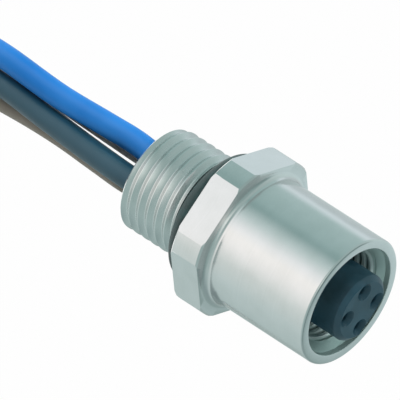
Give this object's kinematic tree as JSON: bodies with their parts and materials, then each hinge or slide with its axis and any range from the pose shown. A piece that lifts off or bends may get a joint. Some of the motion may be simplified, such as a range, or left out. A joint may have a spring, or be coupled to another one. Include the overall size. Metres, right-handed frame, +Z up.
{
  "type": "panel mount sensor connector",
  "caption": "Round metal panel receptacle: threaded coupling sleeve round a keyed socket insert, hexagon, seal ring and panel thread, with single insulated leads hanging from its potted rear.",
  "frame": {"origin": "centre of the panel seat, on the axis", "axes": "+X along the axis towards the mating end, +Z up, so that the panel stands in the YZ plane"},
  "size_m": [0.085, 0.0184, 0.174],
  "materials": {
    "plated_shell": "satin nickel plate on brass",
    "seal_rubber": "matte",
    "carrier_plastic": "satin moulded",
    "contact_gold": "gold plate on brass",
    "potting_resin": "cast resin",
    "lead_brown": "smooth insulation",
    "lead_white": "smooth insulation",
    "lead_blue": "smooth insulation",
    "lead_black": "smooth insulation",
    "core_copper": "tinned copper strand"
  },
  "bodies": {
    "root": {"housing": "plated_shell", "panel_seal": "seal_rubber", "contact_carrier": "carrier_plastic", "contact_1": "contact_gold", "contact_2": "contact_gold", "contact_3": "contact_gold", "contact_4": "contact_gold", "potting": "potting_resin", "lead_brown": "lead_brown", "lead_white": "lead_white", "lead_blue": "lead_blue", "lead_black": "lead_black", "core_brown": "core_copper", "core_white": "core_copper", "core_blue": "core_copper", "core_black": "core_copper"}
  },
  "joints": []
}
